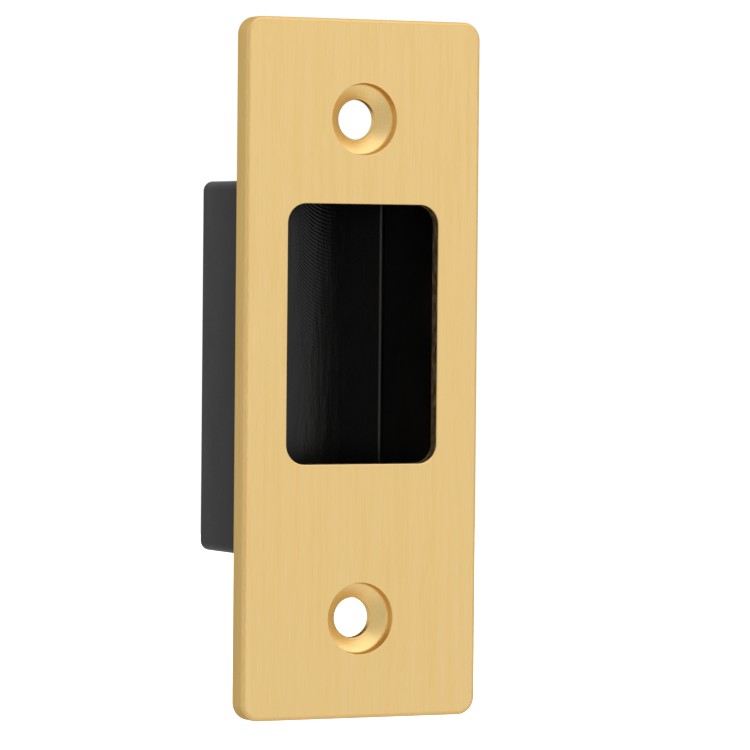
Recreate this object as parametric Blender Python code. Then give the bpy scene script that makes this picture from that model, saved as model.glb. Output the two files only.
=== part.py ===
"""Strike plate with a dust box, for a mortice or sliding-door bolt.

The brass plate is screwed into a shallow rebate in the jamb. The black box behind its window
takes the bolt. The box is a plain tray with walls of one thickness, longer than the window at
both ends, and its open front is pressed into a recess in the plate's rear.

Frame: the origin is the centre of the plate's rear face, which seats on the jamb. +Z runs up
the plate, +X is to the right seen from the front, and +Y runs into the jamb. Units are metres.
"""

import math

import bmesh
import bpy

MM = 0.001

# Clearance between two pieces that touch on the real object.
GAP = 0.3 * MM

# Plate
PLATE_WIDTH = 26.0 * MM
PLATE_HEIGHT = 70.0 * MM
PLATE_THICKNESS = 2.6 * MM
PLATE_CORNER = 1.8 * MM
PLATE_EDGE = 0.4 * MM

# Window in the plate, set above the plate's centre, and the brass left round it by the recess
WINDOW_WIDTH = 16.7 * MM
WINDOW_HEIGHT = 26.0 * MM
WINDOW_CORNER = 2.0 * MM
WINDOW_RISE = 3.5 * MM
WINDOW_LAND = 1.25 * MM

# Countersunk fixing holes: a straight lip, a cone and a through hole
FIXING_PITCH = 50.0 * MM
FIXING_HOLE = 4.0 * MM
FIXING_RIM = 7.2 * MM
FIXING_LIP = 1.05 * MM
FIXING_DEPTH = 1.9 * MM

# Dust box, centred on the plate; its depth is what stands behind the plate
BOX_WIDTH = 21.2 * MM
BOX_HEIGHT = 37.6 * MM
BOX_DEPTH = 13.2 * MM
BOX_WALL = 1.2 * MM
BOX_CORNER = 1.0 * MM
BOX_EDGE = 0.35 * MM
POCKET_CORNER = 1.0 * MM
POCKET_FILLET = 0.45 * MM

# Places that follow from the sizes above
FRONT = -PLATE_THICKNESS
RECESS_FLOOR = FRONT + WINDOW_LAND
BOX_FRONT = RECESS_FLOOR + GAP
POCKET_FLOOR = BOX_DEPTH - BOX_WALL

# Facets of a quarter arc, of a rounded edge and of a turned hole
ARC_STEPS = 8
EDGE_STEPS = 4
TURNED_STEPS = 64

# How far a cutter runs past the face that it opens, and how close two points count as one
PAST = 1.0 * MM
SAME = 0.003 * MM

SHARP = math.radians(30)


def clear_scene():
    for obj in list(bpy.data.objects):
        bpy.data.objects.remove(obj, do_unlink=True)


def material(name, colour, roughness, metallic):
    made = bpy.data.materials.new(name)
    made.use_nodes = True
    shader = made.node_tree.nodes["Principled BSDF"]
    shader.inputs["Base Color"].default_value = (*colour, 1.0)
    shader.inputs["Roughness"].default_value = roughness
    shader.inputs["Metallic"].default_value = metallic
    made.diffuse_color = (*colour, 1.0)
    return made


def finished(name, mesh_data, finish=None):
    """A new object of this mesh, shaded smooth with its corners kept sharp."""
    mesh = bpy.data.meshes.new(name)
    mesh_data.to_mesh(mesh)
    mesh_data.free()
    mesh.shade_smooth()
    mesh.set_sharp_from_angle(angle=SHARP)
    if finish:
        mesh.materials.append(finish)
    obj = bpy.data.objects.new(name, mesh)
    bpy.context.scene.collection.objects.link(obj)
    return obj


def rounded_rectangle(width, height, radius, rise=0.0):
    """Points (x, z) round a rectangle with arc corners, centred rise above the origin."""
    across = width / 2 - radius
    up = height / 2 - radius
    centres = [(across, up), (-across, up), (-across, -up), (across, -up)]
    points = []
    for quarter, (x, z) in enumerate(centres):
        for step in range(ARC_STEPS + 1):
            angle = (quarter + step / ARC_STEPS) * math.pi / 2
            points.append((x + radius * math.cos(angle), rise + z + radius * math.sin(angle)))
    return points


def prism(name, outline, front, back, finish=None, round_front=0.0, round_back=0.0):
    """The outline extruded along Y from front to back, with either end's edge rounded."""
    mesh = bmesh.new()
    ring = [mesh.verts.new((x, front, z)) for x, z in outline]
    face = mesh.faces.new(ring)
    grown = bmesh.ops.extrude_face_region(mesh, geom=[face])
    for item in grown["geom"]:
        if isinstance(item, bmesh.types.BMVert):
            item.co.y = back
    bmesh.ops.recalc_face_normals(mesh, faces=mesh.faces)
    for place, radius in ((front, round_front), (back, round_back)):
        if radius == 0.0:
            continue
        edges = [e for e in mesh.edges if all(abs(v.co.y - place) < SAME for v in e.verts)]
        bmesh.ops.bevel(
            mesh,
            geom=edges,
            offset=radius,
            offset_type="OFFSET",
            segments=EDGE_STEPS,
            profile=0.5,
            affect="EDGES",
        )
    return finished(name, mesh, finish)


def turned(name, profile, z):
    """The profile's points (radius, y) spun about a Y-wise axis at that height."""
    mesh = bmesh.new()
    verts = [mesh.verts.new((radius, y, 0.0)) for radius, y in profile]
    edges = [mesh.edges.new(pair) for pair in zip(verts, verts[1:])]
    bmesh.ops.spin(
        mesh,
        geom=verts + edges,
        cent=(0.0, 0.0, 0.0),
        axis=(0.0, 1.0, 0.0),
        angle=2 * math.pi,
        steps=TURNED_STEPS,
        use_merge=True,
        use_duplicate=False,
    )
    bmesh.ops.remove_doubles(mesh, verts=mesh.verts, dist=SAME)
    bmesh.ops.recalc_face_normals(mesh, faces=mesh.faces)
    obj = finished(name, mesh)
    obj.location = (0.0, 0.0, z)
    return obj


def cut(obj, tool):
    """Takes the tool's shape out of the object and keeps the tool out of renders."""
    modifier = obj.modifiers.new(f"cut {tool.name}", "BOOLEAN")
    modifier.operation = "DIFFERENCE"
    modifier.solver = "EXACT"
    modifier.object = tool
    tool.hide_render = True
    tool.display_type = "WIRE"


def fixing_hole_profile():
    """Lip, countersink and through hole, from ahead of the front face to behind the rear."""
    return [
        (0.0, FRONT - PAST),
        (FIXING_RIM / 2, FRONT - PAST),
        (FIXING_RIM / 2, FRONT + FIXING_LIP),
        (FIXING_HOLE / 2, FRONT + FIXING_DEPTH),
        (FIXING_HOLE / 2, PAST),
        (0.0, PAST),
    ]


def make_plate(finish):
    outline = rounded_rectangle(PLATE_WIDTH, PLATE_HEIGHT, PLATE_CORNER)
    plate = prism("strike_plate", outline, FRONT, 0.0, finish, PLATE_EDGE, PLATE_EDGE)

    window = rounded_rectangle(WINDOW_WIDTH, WINDOW_HEIGHT, WINDOW_CORNER, WINDOW_RISE)
    cut(plate, prism("window_cutter", window, FRONT - PAST, PAST))

    recess = rounded_rectangle(BOX_WIDTH + 2 * GAP, BOX_HEIGHT + 2 * GAP, BOX_CORNER + GAP)
    cut(plate, prism("recess_cutter", recess, RECESS_FLOOR, PAST))

    for place, z in (("top", FIXING_PITCH / 2), ("bottom", -FIXING_PITCH / 2)):
        cut(plate, turned(f"fixing_cutter_{place}", fixing_hole_profile(), z))


def make_box(finish):
    outline = rounded_rectangle(BOX_WIDTH, BOX_HEIGHT, BOX_CORNER)
    box = prism("dust_box", outline, BOX_FRONT, BOX_DEPTH, finish, round_back=BOX_EDGE)

    inner_width = BOX_WIDTH - 2 * BOX_WALL
    inner_height = BOX_HEIGHT - 2 * BOX_WALL
    pocket = rounded_rectangle(inner_width, inner_height, POCKET_CORNER)
    front = BOX_FRONT - PAST
    cut(box, prism("pocket_cutter", pocket, front, POCKET_FLOOR, round_back=POCKET_FILLET))


def main():
    clear_scene()
    make_plate(material("satin brass", (0.80, 0.57, 0.25), 0.32, 1.0))
    make_box(material("satin black", (0.012, 0.012, 0.012), 0.38, 0.0))


main()
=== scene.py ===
import math

import bmesh
import bpy
from mathutils import Matrix, Vector


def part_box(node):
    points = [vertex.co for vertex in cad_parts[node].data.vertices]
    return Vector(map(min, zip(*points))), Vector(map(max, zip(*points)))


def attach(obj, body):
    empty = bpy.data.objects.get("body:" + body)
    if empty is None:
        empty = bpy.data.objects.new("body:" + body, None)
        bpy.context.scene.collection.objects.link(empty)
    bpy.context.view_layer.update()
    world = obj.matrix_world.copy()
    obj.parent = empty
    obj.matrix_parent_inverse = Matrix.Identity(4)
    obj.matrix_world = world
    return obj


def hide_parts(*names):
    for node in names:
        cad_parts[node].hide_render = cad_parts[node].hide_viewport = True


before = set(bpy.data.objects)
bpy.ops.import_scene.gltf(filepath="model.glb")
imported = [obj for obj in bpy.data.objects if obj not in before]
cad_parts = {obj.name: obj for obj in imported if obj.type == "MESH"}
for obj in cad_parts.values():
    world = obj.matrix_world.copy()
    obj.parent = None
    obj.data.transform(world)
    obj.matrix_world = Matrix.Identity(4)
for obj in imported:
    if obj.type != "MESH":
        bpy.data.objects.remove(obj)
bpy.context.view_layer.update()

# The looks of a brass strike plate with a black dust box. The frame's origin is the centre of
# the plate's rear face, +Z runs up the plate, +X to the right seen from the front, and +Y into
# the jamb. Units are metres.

MM = 0.001
BODY = "root"

# Places read from the frame
PLATE_LOW, PLATE_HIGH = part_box("strike_plate")
BOX_LOW, BOX_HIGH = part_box("dust_box")
FRONT = PLATE_LOW.y
REAR = PLATE_HIGH.y
BOX_BACK = BOX_HIGH.y

# Plate
PLATE_CORNER = 1.8 * MM
PLATE_EDGE = 0.4 * MM
WINDOW_WIDTH = 16.7 * MM
WINDOW_FOOT = -9.5 * MM
WINDOW_HEAD = 16.5 * MM
WINDOW_CORNER = 2.0 * MM
WINDOW_EDGE = 0.12 * MM
WINDOW_REAR_EDGE = 0.06 * MM
WINDOW_LAND = 1.25 * MM
RECESS_FLOOR = FRONT + WINDOW_LAND

# Fixing holes
FIXING_PITCH = 50.0 * MM
FIXING_HOLE = 4.0 * MM
FIXING_RIM = 7.2 * MM
FIXING_RIM_EDGE = 0.06 * MM
FIXING_LIP = 1.05 * MM
FIXING_LIP_FILLET = 0.45 * MM
FIXING_DEPTH = 1.9 * MM
FIXING_HOLE_EDGE = 0.05 * MM

# Dust box, and the fit of its front in the plate's recess
BOX_WALL = 1.2 * MM
BOX_CORNER = 1.0 * MM
BOX_EDGE = 0.35 * MM
BOX_RIM_EDGE = 0.1 * MM
POCKET_CORNER = 1.0 * MM
POCKET_FILLET = 0.45 * MM
BOX_PLAY = 0.04 * MM
BOX_SEAT = 0.02 * MM

# Smoothness of arcs, rounded edges and turned pieces
ARC_STEPS = 16
EDGE_STEPS = 6
SMALL_EDGE_STEPS = 3
WINDOW_EDGE_STEPS = 4
FILLET_STEPS = 8
CIRCLE_STEPS = 128
SHARP = math.radians(35)

# Material slots of the plate and of the box
BRUSHED, TURNED, MILLED, DULLED = range(4)
MOULDED, SMOOTH, MARKED = range(3)


# ---------------------------------------------------------------- outlines

def rounded_rectangle(low, high, radius, grow=0.0):
    """Points (x, z) round a rectangle with arc corners, moved outwards by grow."""
    arc = radius + grow
    centres = [
        (high[0] - radius, high[1] - radius),
        (low[0] + radius, high[1] - radius),
        (low[0] + radius, low[1] + radius),
        (high[0] - radius, low[1] + radius),
    ]
    points = []
    for quarter, (x, z) in enumerate(centres):
        for step in range(ARC_STEPS + 1):
            angle = (quarter + step / ARC_STEPS) * math.pi / 2
            points.append((x + arc * math.cos(angle), z + arc * math.sin(angle)))
    return points


def circle(x, z, radius):
    angles = [2 * math.pi * step / CIRCLE_STEPS for step in range(CIRCLE_STEPS)]
    return [(x + radius * math.cos(a), z + radius * math.sin(a)) for a in angles]


def edge_arc(radius, steps=EDGE_STEPS):
    """(inset, drop) along a quarter round: from the face, inset by radius, to the wall."""
    for step in range(steps + 1):
        angle = step / steps * math.pi / 2
        yield radius * (1 - math.sin(angle)), radius * (1 - math.cos(angle))


# ---------------------------------------------------------------- mesh building

class Shell:
    """A closed mesh made of rings of points, joined by walls and closed by flat faces."""

    def __init__(self):
        self.mesh = bmesh.new()
        self.flats = set()

    def ring(self, outline, y):
        return [self.mesh.verts.new((x, y, z)) for x, z in outline]

    def wall(self, rings, slot):
        for near, far in zip(rings, rings[1:]):
            count = len(near)
            for i in range(count):
                j = (i + 1) % count
                face = self.mesh.faces.new((near[i], near[j], far[j], far[i]))
                face.material_index = slot

    def flat(self, rings, slot):
        """Fills the plane between the first ring and the rings inside it."""
        edges = []
        for ring in rings:
            for a, b in zip(ring, ring[1:] + ring[:1]):
                edges.append(self.mesh.edges.get((a, b)) or self.mesh.edges.new((a, b)))
        made = bmesh.ops.triangle_fill(self.mesh, use_beauty=True, use_dissolve=False, edges=edges)
        for item in made["geom"]:
            if isinstance(item, bmesh.types.BMFace):
                item.material_index = slot
                self.flats.add(item)

    def corner_normal(self, corner):
        """A flat face keeps its own normal, and a rounded edge runs smoothly into it."""
        face = corner.face
        if face in self.flats:
            return face.normal.copy()
        near = [f for f in corner.vert.link_faces if f.normal.angle(face.normal) < SHARP]
        for other in near:
            if other in self.flats:
                return other.normal.copy()
        total = Vector()
        for other in corner.vert.link_loops:
            if other.face in near:
                total += other.face.normal * other.calc_angle()
        return total.normalized()

    def finish(self, name, materials):
        bmesh.ops.recalc_face_normals(self.mesh, faces=self.mesh.faces)
        normals = [self.corner_normal(corner) for face in self.mesh.faces for corner in face.loops]
        mesh = bpy.data.meshes.new(name)
        self.mesh.to_mesh(mesh)
        self.mesh.free()
        for made in materials:
            mesh.materials.append(made)
        mesh.shade_smooth()
        mesh.normals_split_custom_set(normals)
        obj = bpy.data.objects.new(name, mesh)
        bpy.context.scene.collection.objects.link(obj)
        return obj


# ---------------------------------------------------------------- material nodes

class Nodes:
    """A short way to write a material's node tree."""

    def __init__(self, name):
        self.material = bpy.data.materials.new(name)
        self.material.use_nodes = True
        self.tree = self.material.node_tree
        self.shader = self.tree.nodes["Principled BSDF"]

    def set(self, **values):
        for key, value in values.items():
            self.shader.inputs[key.replace("_", " ")].default_value = value

    def link(self, source, target):
        self.tree.links.new(source, target)

    def into(self, name, source):
        self.link(source, self.shader.inputs[name])

    def new(self, kind, **inputs):
        node = self.tree.nodes.new(kind)
        for key, value in inputs.items():
            self.feed(node.inputs[key.replace("_", " ")], value)
        return node

    def feed(self, socket, value):
        if isinstance(value, bpy.types.NodeSocket):
            self.link(value, socket)
        else:
            socket.default_value = value

    def place(self, scale):
        """The object's own coordinates, stretched by scale."""
        source = self.new("ShaderNodeTexCoord").outputs["Object"]
        mapping = self.new("ShaderNodeMapping", Vector=source)
        mapping.inputs["Scale"].default_value = scale
        return mapping.outputs["Vector"]

    def noise(self, vector, detail=3.0, roughness=0.55, distortion=0.0):
        node = self.new("ShaderNodeTexNoise", Vector=vector)
        node.inputs["Scale"].default_value = 1.0
        node.inputs["Detail"].default_value = detail
        node.inputs["Roughness"].default_value = roughness
        node.inputs["Distortion"].default_value = distortion
        return node.outputs["Fac"]

    def math(self, operation, a, b=0.0, clamp=False):
        node = self.tree.nodes.new("ShaderNodeMath")
        node.operation = operation
        node.use_clamp = clamp
        self.feed(node.inputs[0], a)
        self.feed(node.inputs[1], b)
        return node.outputs[0]

    def range(self, value, low, high, to_low, to_high):
        node = self.new("ShaderNodeMapRange", Value=value)
        for key, number in (
            ("From Min", low), ("From Max", high), ("To Min", to_low), ("To Max", to_high)
        ):
            node.inputs[key].default_value = number
        return node.outputs["Result"]

    def blend(self, factor, a, b):
        node = self.tree.nodes.new("ShaderNodeMix")
        node.data_type = "RGBA"
        self.feed(node.inputs[0], factor)
        self.feed(node.inputs[6], a)
        self.feed(node.inputs[7], b)
        return node.outputs[2]

    def bump(self, height, strength, distance, after=None):
        node = self.new("ShaderNodeBump", Height=height)
        node.inputs["Strength"].default_value = strength
        node.inputs["Distance"].default_value = distance
        if after is not None:
            self.link(after, node.inputs["Normal"])
        return node.outputs["Normal"]

    def sideways(self):
        """A level direction along the surface, square to the brushing."""
        normal = self.new("ShaderNodeNewGeometry").outputs["Normal"]
        cross = self.vector("CROSS_PRODUCT", normal, (0.0, 0.0, 1.0))
        return self.vector("ADD", cross, (0.001, 0.0, 0.0))

    def vector(self, operation, a, b):
        node = self.tree.nodes.new("ShaderNodeVectorMath")
        node.operation = operation
        self.feed(node.inputs[0], a)
        self.feed(node.inputs[1], b)
        return node.outputs["Vector"]


# Brass: the faces, the tint at grazing angles, the cut of the countersinks, and the milled wall's painted
# shade tone and its paler tone
BRASS = (0.835, 0.590, 0.245, 1.0)
BRASS_DEEP = (0.790, 0.540, 0.205, 1.0)
BRASS_PALE = (0.875, 0.640, 0.295, 1.0)
EDGE_TINT = (0.90, 0.68, 0.32, 1.0)
CUT_DEEP = (0.850, 0.605, 0.242, 1.0)
CUT_PALE = (0.940, 0.705, 0.318, 1.0)
# Painted shade: the milled wall's dark tone, and the paler tone it runs to towards the rear
MILLED_SHADE = (0.430, 0.270, 0.100, 1.0)
MILLED_PALE = (0.740, 0.560, 0.320, 1.0)


def satin_brass():
    """Lacquered brass brushed up and down: long fine grooves with a soft sideways gloss."""
    made = Nodes("satin brass")
    made.set(Metallic=1.0, Anisotropic=0.5, Specular_Tint=EDGE_TINT, Coat_Weight=0.05, Coat_Roughness=0.22)
    fine = made.noise(made.place((12000, 12000, 420)), detail=4.0, roughness=0.75)
    broad = made.noise(made.place((1700, 1700, 75)), detail=4.0, roughness=0.6)
    cloud = made.noise(made.place((120, 120, 45)), detail=2.0)
    streak = made.math("ADD", made.math("MULTIPLY", fine, 0.55), made.math("MULTIPLY", broad, 0.45))
    colour = made.blend(made.range(streak, 0.36, 0.64, 0.0, 1.0), BRASS_DEEP, BRASS_PALE)
    patch = made.range(cloud, 0.35, 0.65, 0.0, 0.35)
    made.into("Base Color", made.blend(patch, colour, BRASS))
    made.into("Roughness", made.range(streak, 0.3, 0.7, 0.27, 0.41))
    made.into("Normal", made.bump(streak, 0.085, 0.00003))
    made.into("Tangent", made.sideways())
    return made.material


def dulled_brass():
    """The plate's rounded edges: tumbled, so duller than the faces and without their grooves."""
    made = Nodes("dulled brass")
    made.set(Metallic=1.0, Specular_Tint=EDGE_TINT, Coat_Weight=0.05, Coat_Roughness=0.3)
    grain = made.noise(made.place((9000, 9000, 900)), detail=4.0, roughness=0.7)
    made.into("Base Color", made.blend(made.range(grain, 0.36, 0.64, 0.0, 1.0), BRASS_DEEP, BRASS_PALE))
    made.into("Roughness", made.range(grain, 0.3, 0.7, 0.54, 0.66))
    made.into("Normal", made.bump(grain, 0.08, 0.00003))
    return made.material


def turned_brass():
    """The cut surface of the countersinks: rings about each hole and a fine torn grain."""
    made = Nodes("turned brass")
    made.set(Metallic=1.0, Specular_Tint=EDGE_TINT, Coat_Weight=0.1, Coat_Roughness=0.3)
    parts = made.new("ShaderNodeSeparateXYZ", Vector=made.place((1, 1, 1))).outputs
    rise = made.math("SUBTRACT", made.math("ABSOLUTE", parts["Z"]), FIXING_PITCH / 2)
    radius = made.math(
        "SQRT", made.math("ADD", made.math("POWER", parts["X"], 2.0), made.math("POWER", rise, 2.0))
    )
    rings = made.tree.nodes.new("ShaderNodeTexNoise")
    rings.noise_dimensions = "1D"
    rings.inputs["Scale"].default_value = 6500
    rings.inputs["Detail"].default_value = 2.0
    made.link(radius, rings.inputs["W"])
    grain = made.noise(made.place((8000, 8000, 8000)), detail=3.0, roughness=0.7)
    made.into("Base Color", made.blend(made.range(grain, 0.35, 0.65, 0.0, 1.0), CUT_DEEP, CUT_PALE))
    made.into("Roughness", made.range(grain, 0.3, 0.7, 0.36, 0.46))
    normal = made.bump(rings.outputs["Fac"], 0.45, 0.00002)
    made.into("Normal", made.bump(grain, 0.16, 0.00003, after=normal))
    return made.material


def milled_brass():
    """The window's wall: mottled by cutter chatter, with painted shade that darkens it towards the front
    and lightens it towards the rear.
    """
    made = Nodes("milled brass")
    made.set(Metallic=1.0, Specular_Tint=EDGE_TINT, Coat_Weight=0.15, Coat_Roughness=0.2)
    chatter = made.noise(made.place((1700, 1700, 1300)), detail=4.0, roughness=0.75)
    nicks = made.noise(made.place((2600, 5200, 900)), detail=2.0)
    parts = made.new("ShaderNodeSeparateXYZ", Vector=made.place((1, 1, 1))).outputs
    # Painted shade: the cutter's random mottling plus a ramp that darkens the wall towards the front and
    # lightens it towards the rear
    chatter_and_depth_shade = made.math("ADD", chatter, made.range(parts["Y"], FRONT, RECESS_FLOOR, -0.16, 0.16))
    made.into("Base Color", made.blend(made.range(chatter_and_depth_shade, 0.36, 0.66, 0.0, 1.0), MILLED_SHADE, MILLED_PALE))
    made.into("Roughness", made.range(chatter, 0.3, 0.7, 0.36, 0.60))
    normal = made.bump(chatter, 0.6, 0.00005)
    deep = made.range(nicks, 0.58, 0.68, 0.0, 1.0)
    made.into("Normal", made.bump(deep, 0.7, 0.00005, after=normal))
    return made.material


# Black: the darkest tone, and the pale tones of the pocket's floor, its walls and the outside
BLACK = (0.0026, 0.0026, 0.0027, 1.0)
BLACK_PALE = (0.0066, 0.0066, 0.0067, 1.0)
BLACK_WARM = (0.0125, 0.0110, 0.0090, 1.0)
BLACK_GREY = (0.0110, 0.0110, 0.0112, 1.0)


def satin_black(name, pale, gloss, least, most):
    """A moulded face: a fine grain between black and the pale tone, and a satin roughness."""
    made = Nodes(name)
    made.set(Specular_IOR_Level=gloss)
    grain = made.noise(made.place((4200, 4200, 4200)), detail=4.0, roughness=0.65)
    cloud = made.noise(made.place((260, 260, 120)), detail=3.0)
    tone = made.math("ADD", grain, cloud)
    made.into("Base Color", made.blend(made.range(tone, 0.8, 1.2, 0.0, 1.0), BLACK, pale))
    made.into("Roughness", made.range(tone, 0.75, 1.25, least, most))
    made.into("Normal", made.bump(grain, 0.3, 0.00003))
    return made.material


# Tool marks on the pocket's floor: two passes of a cutter, side by side, each leaving arcs
MILL_RADIUS = 5.0 * MM
MILL_LEFT = -0.9 * MM
MILL_PITCH = 0.40 * MM
MILL_DEPTH = 0.006 * MM
MILL_STRONG = 13.0 * MM
MILL_FAINT = -2.0 * MM
MILL_WORN = 2.6 * MM
MILL_EDGE = 5.0 * MM


def milled_black():
    """The pocket's floor: trailing arcs of a cutter, crisp near the head and worn out below."""
    made = Nodes("milled black")
    made.set(Specular_IOR_Level=0.37)
    parts = made.new("ShaderNodeSeparateXYZ", Vector=made.place((1, 1, 1))).outputs
    along = made.math("SUBTRACT", parts["X"], MILL_LEFT)
    across = made.math("SUBTRACT", made.math("FLOORED_MODULO", along, 2 * MILL_RADIUS), MILL_RADIUS)
    inside = made.math("SUBTRACT", MILL_RADIUS ** 2, made.math("POWER", across, 2.0))
    rise = made.math("SQRT", made.math("MAXIMUM", inside, 0.0))
    turns = made.math("DIVIDE", made.math("ADD", parts["Z"], rise), MILL_PITCH)
    wave = made.math("SINE", made.math("MULTIPLY", turns, 2 * math.pi))
    wear = made.noise(made.place((300, 300, 120)), detail=3.0)
    crisp = made.range(parts["Z"], MILL_FAINT, MILL_STRONG, 0.2, 1.0)
    ends = made.range(inside, 0.0, 0.45 * MILL_RADIUS ** 2, 0.0, 1.0)
    crisp = made.math("MULTIPLY", crisp, made.range(parts["X"], MILL_WORN, MILL_EDGE, 1.0, 0.15))
    depth = made.math("MULTIPLY", made.math("MULTIPLY", crisp, ends), made.range(wear, 0.3, 0.6, 0.5, 1.0))
    marks = made.math("MULTIPLY", wave, depth)
    grain = made.noise(made.place((6000, 6000, 6000)), detail=3.0, roughness=0.6)
    drag = made.noise(made.place((2300, 2300, 170)), detail=5.0, roughness=0.65)
    scuff = made.range(made.noise(made.place((900, 900, 240)), detail=4.0), 0.38, 0.60, 0.25, 1.0)
    made.into("Base Color", made.blend(wear, BLACK, BLACK_PALE))
    made.into("Roughness", made.range(made.math("ADD", grain, drag), 0.7, 1.3, 0.18, 0.29))
    normal = made.bump(marks, 1.0, MILL_DEPTH)
    normal = made.bump(made.math("MULTIPLY", drag, scuff), 0.5, 0.00003, after=normal)
    made.into("Normal", made.bump(grain, 0.08, 0.00003, after=normal))
    return made.material


# ---------------------------------------------------------------- pieces

def plate_outline(grow=0.0):
    return rounded_rectangle(
        (PLATE_LOW.x, PLATE_LOW.z), (PLATE_HIGH.x, PLATE_HIGH.z), PLATE_CORNER, grow
    )


def window_outline(grow=0.0):
    half = WINDOW_WIDTH / 2
    return rounded_rectangle((-half, WINDOW_FOOT), (half, WINDOW_HEAD), WINDOW_CORNER, grow)


def box_outline(grow=0.0):
    return rounded_rectangle((BOX_LOW.x, BOX_LOW.z), (BOX_HIGH.x, BOX_HIGH.z), BOX_CORNER, grow)


def pocket_outline(grow=0.0):
    low = (BOX_LOW.x + BOX_WALL, BOX_LOW.z + BOX_WALL)
    high = (BOX_HIGH.x - BOX_WALL, BOX_HIGH.z - BOX_WALL)
    return rounded_rectangle(low, high, POCKET_CORNER, grow)


def fixing_hole(shell, z):
    """A straight lip, a fillet, a cone and a through hole. Returns the front and the rear mouth."""
    rim = FIXING_RIM / 2
    bore = FIXING_HOLE / 2
    mouth = edge_arc(FIXING_RIM_EDGE, SMALL_EDGE_STEPS)
    profile = [(rim + inset, FRONT + drop) for inset, drop in mouth]
    foot = FRONT + FIXING_LIP
    throat = FRONT + FIXING_DEPTH
    slope = (rim - bore) / (throat - foot)
    bend = math.atan(slope)
    start = foot - FIXING_LIP_FILLET * math.tan(bend / 2)
    for step in range(FILLET_STEPS + 1):
        angle = step / FILLET_STEPS * bend
        inset = FIXING_LIP_FILLET * (1 - math.cos(angle))
        profile.append((rim - inset, start + FIXING_LIP_FILLET * math.sin(angle)))
    profile.append((bore + FIXING_HOLE_EDGE, throat - FIXING_HOLE_EDGE / slope))
    profile.append((bore, throat + FIXING_HOLE_EDGE))
    profile.append((bore, REAR))
    rings = [shell.ring(circle(0.0, z, radius), y) for radius, y in profile]
    shell.wall(rings, TURNED)
    return rings[0], rings[-1]


def make_plate():
    shell = Shell()
    front_edge = [shell.ring(plate_outline(-inset), FRONT + drop) for inset, drop in edge_arc(PLATE_EDGE)]
    arc = reversed(list(edge_arc(PLATE_EDGE)))
    rear_edge = [shell.ring(plate_outline(-inset), REAR - drop) for inset, drop in arc]
    shell.wall(front_edge, DULLED)
    shell.wall([front_edge[-1], rear_edge[0]], BRUSHED)
    shell.wall(rear_edge, DULLED)

    arc = edge_arc(WINDOW_EDGE, WINDOW_EDGE_STEPS)
    window = [shell.ring(window_outline(inset), FRONT + drop) for inset, drop in arc]
    shell.wall(window, BRUSHED)
    arc = reversed(list(edge_arc(WINDOW_REAR_EDGE, SMALL_EDGE_STEPS)))
    land = [shell.ring(window_outline(inset), RECESS_FLOOR - drop) for inset, drop in arc]
    shell.wall([window[-1]] + land, MILLED)

    recess = [shell.ring(box_outline(BOX_PLAY), y) for y in (RECESS_FLOOR, REAR)]
    shell.wall(recess, MILLED)
    shell.flat([recess[0], land[-1]], MILLED)

    mouths = [fixing_hole(shell, z) for z in (FIXING_PITCH / 2, -FIXING_PITCH / 2)]
    shell.flat([front_edge[0], window[0]] + [front for front, rear in mouths], BRUSHED)
    shell.flat([rear_edge[-1], recess[1]] + [rear for front, rear in mouths], BRUSHED)
    return shell.finish("plate_body", [satin_brass(), turned_brass(), milled_brass(), dulled_brass()])


def make_box():
    shell = Shell()
    rim = RECESS_FLOOR + BOX_SEAT
    rim_arc = list(edge_arc(BOX_RIM_EDGE, SMALL_EDGE_STEPS))
    outside = [shell.ring(box_outline(-inset), rim + drop) for inset, drop in rim_arc]
    arc = reversed(list(edge_arc(BOX_EDGE)))
    outside += [shell.ring(box_outline(-inset), BOX_BACK - drop) for inset, drop in arc]
    shell.wall(outside, MOULDED)
    shell.flat([outside[-1]], MOULDED)

    mouth = [shell.ring(pocket_outline(inset), rim + drop) for inset, drop in rim_arc]
    floor = BOX_BACK - BOX_WALL
    fillet = reversed(list(edge_arc(POCKET_FILLET)))
    sides = [shell.ring(pocket_outline(-inset), floor - drop) for inset, drop in fillet]
    shell.wall(mouth + sides, SMOOTH)
    shell.flat([outside[0], mouth[0]], SMOOTH)
    shell.flat([sides[-1]], MARKED)
    outer = satin_black("satin black", BLACK_GREY, 0.235, 0.34, 0.48)
    inner = satin_black("smooth black", BLACK_WARM, 0.55, 0.14, 0.20)
    return shell.finish("box_body", [outer, inner, milled_black()])


# ---------------------------------------------------------------- stage

FLOOR_DROP = 700.0 * MM
FLOOR_HALF = 12.0
FLOOR_GLOW = 0.8
CAMERA_LENS = 238.8
CAMERA_AZIMUTH = -26.42
CAMERA_ELEVATION = 1.277
CAMERA_ROLL = 0.526
CAMERA_DISTANCE = 0.5003
CAMERA_TARGET = (0.00214, -0.00108, -0.00062)


def make_floor():
    made = Nodes("pale floor")
    grain = made.noise(made.place((60, 60, 60)), detail=4.0)
    made.into("Base Color", made.blend(grain, (0.86, 0.86, 0.855, 1.0), (0.90, 0.90, 0.895, 1.0)))
    made.set(Roughness=0.8, Emission_Color=(1.0, 1.0, 1.0, 1.0), Emission_Strength=FLOOR_GLOW)
    mesh = bmesh.new()
    bmesh.ops.create_grid(mesh, x_segments=8, y_segments=8, size=FLOOR_HALF)
    bmesh.ops.translate(mesh, verts=mesh.verts, vec=(0.0, 0.0, PLATE_LOW.z - FLOOR_DROP))
    data = bpy.data.meshes.new("floor")
    mesh.to_mesh(data)
    mesh.free()
    data.materials.append(made.material)
    floor = bpy.data.objects.new("floor", data)
    bpy.context.scene.collection.objects.link(floor)
    floor.visible_diffuse = False
    floor.visible_glossy = False


def direction(azimuth, elevation):
    """From the object towards a point seen at that azimuth and elevation, in degrees."""
    a, e = math.radians(azimuth), math.radians(elevation)
    return Vector((math.sin(a) * math.cos(e), -math.cos(a) * math.cos(e), math.sin(e)))


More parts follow.
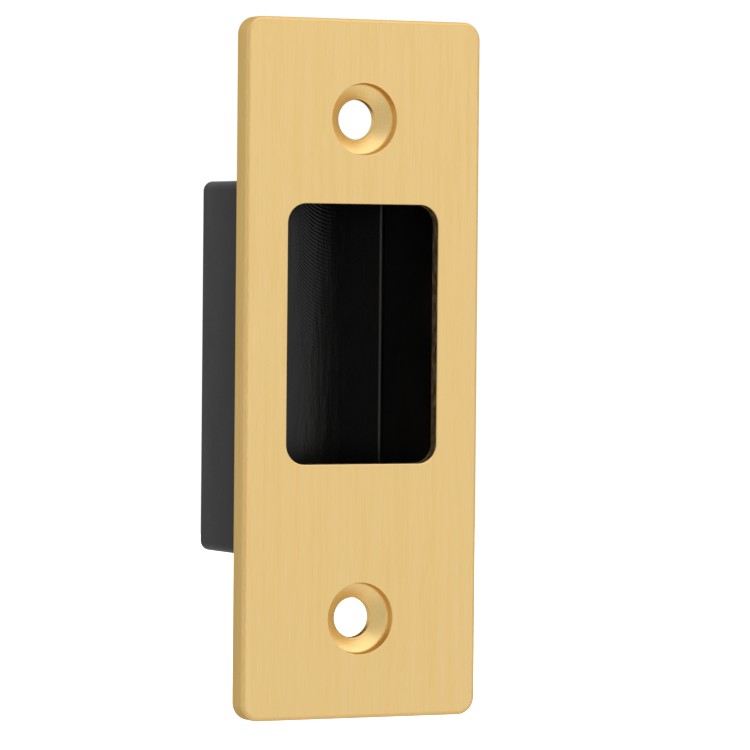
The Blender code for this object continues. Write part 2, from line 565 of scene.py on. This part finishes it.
# The white room round the object: a level all round, and broad soft panels of light. Each panel
# has the azimuth and elevation of its middle, in degrees, and its radiance. It is even out to the
# core's angle and fades out at the reach
PANEL_CORE = 15.0
PANEL_REACH = 62.0
ROOM = 0.585
PANELS = [
    ("front_right", 28, 34, 0.51),
    ("top_back", -165, 50, 0.16),
    ("low_front", 30, -55, 0.32),
    ("nadir", 0, -85, 0.05),
    ("left", -90, 0, 0.14),
]
BACKDROP = 1.05

# The softboxes: where each stands as seen from the object, its distance, size and radiance
SOFTBOXES = [
    ("key", 26, 58, 1.3, 2.2, 1.5, 0.46),
    ("side", -84, 0, 1.3, 1.0, 1.8, 0.22),
]


def make_softbox(name, azimuth, elevation, distance, width, height, glow):
    """An area light of the given radiance that faces the object."""
    data = bpy.data.lights.new(name, "AREA")
    data.shape = "RECTANGLE"
    data.size = width
    data.size_y = height
    data.energy = glow * math.pi * width * height
    light = bpy.data.objects.new(name, data)
    away = direction(azimuth, elevation)
    light.location = away * distance
    light.rotation_mode = "QUATERNION"
    light.rotation_quaternion = away.to_track_quat("Z", "Y")
    light.visible_camera = False
    bpy.context.scene.collection.objects.link(light)


def make_world():
    """White behind the object, and the soft room round it for its light and reflections."""
    world = bpy.data.worlds.new("studio")
    world.use_nodes = True
    tree = world.node_tree
    look = tree.nodes.new("ShaderNodeTexCoord").outputs["Generated"]
    total = None
    for name, azimuth, elevation, level in PANELS:
        facing = tree.nodes.new("ShaderNodeVectorMath")
        facing.label = name
        facing.operation = "DOT_PRODUCT"
        tree.links.new(look, facing.inputs[0])
        facing.inputs[1].default_value = direction(azimuth, elevation)
        fade = tree.nodes.new("ShaderNodeMapRange")
        fade.interpolation_type = "SMOOTHSTEP"
        fade.inputs["From Min"].default_value = math.cos(math.radians(PANEL_REACH))
        fade.inputs["From Max"].default_value = math.cos(math.radians(PANEL_CORE))
        fade.inputs["To Max"].default_value = level
        tree.links.new(facing.outputs["Value"], fade.inputs["Value"])
        add = tree.nodes.new("ShaderNodeMath")
        tree.links.new(fade.outputs["Result"], add.inputs[0])
        if total is None:
            add.inputs[1].default_value = ROOM
        else:
            tree.links.new(total, add.inputs[1])
        total = add.outputs[0]
    seen = tree.nodes["Background"]
    seen.inputs["Color"].default_value = (1.0, 1.0, 1.0, 1.0)
    seen.inputs["Strength"].default_value = BACKDROP
    room = tree.nodes.new("ShaderNodeBackground")
    room.inputs["Color"].default_value = (1.0, 1.0, 1.0, 1.0)
    tree.links.new(total, room.inputs["Strength"])
    path = tree.nodes.new("ShaderNodeLightPath")
    mix = tree.nodes.new("ShaderNodeMixShader")
    tree.links.new(path.outputs["Is Camera Ray"], mix.inputs[0])
    tree.links.new(room.outputs[0], mix.inputs[1])
    tree.links.new(seen.outputs[0], mix.inputs[2])
    tree.links.new(mix.outputs[0], tree.nodes["World Output"].inputs["Surface"])
    bpy.context.scene.world = world


def make_camera():
    data = bpy.data.cameras.new("camera")
    data.lens = CAMERA_LENS
    data.sensor_width = 36.0
    data.clip_start = 0.01
    data.clip_end = 50.0
    camera = bpy.data.objects.new("camera", data)
    away = direction(CAMERA_AZIMUTH, CAMERA_ELEVATION)
    facing = away.to_track_quat("Z", "Y").to_matrix()
    roll = Matrix.Rotation(math.radians(CAMERA_ROLL), 3, "Z")
    camera.rotation_mode = "QUATERNION"
    camera.rotation_quaternion = (facing @ roll).to_quaternion()
    camera.location = Vector(CAMERA_TARGET) + away * CAMERA_DISTANCE
    bpy.context.scene.collection.objects.link(camera)
    bpy.context.scene.camera = camera


# ---------------------------------------------------------------- assembly

def show(piece, node):
    """The piece stands for a CAD node and rides on the part's one body."""
    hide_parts(node)
    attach(piece, BODY)


def main():
    bpy.context.scene.view_settings.view_transform = "Standard"
    make_camera()
    make_world()
    for softbox in SOFTBOXES:
        make_softbox(*softbox)
    make_floor()
    show(make_plate(), "strike_plate")
    show(make_box(), "dust_box")


main()
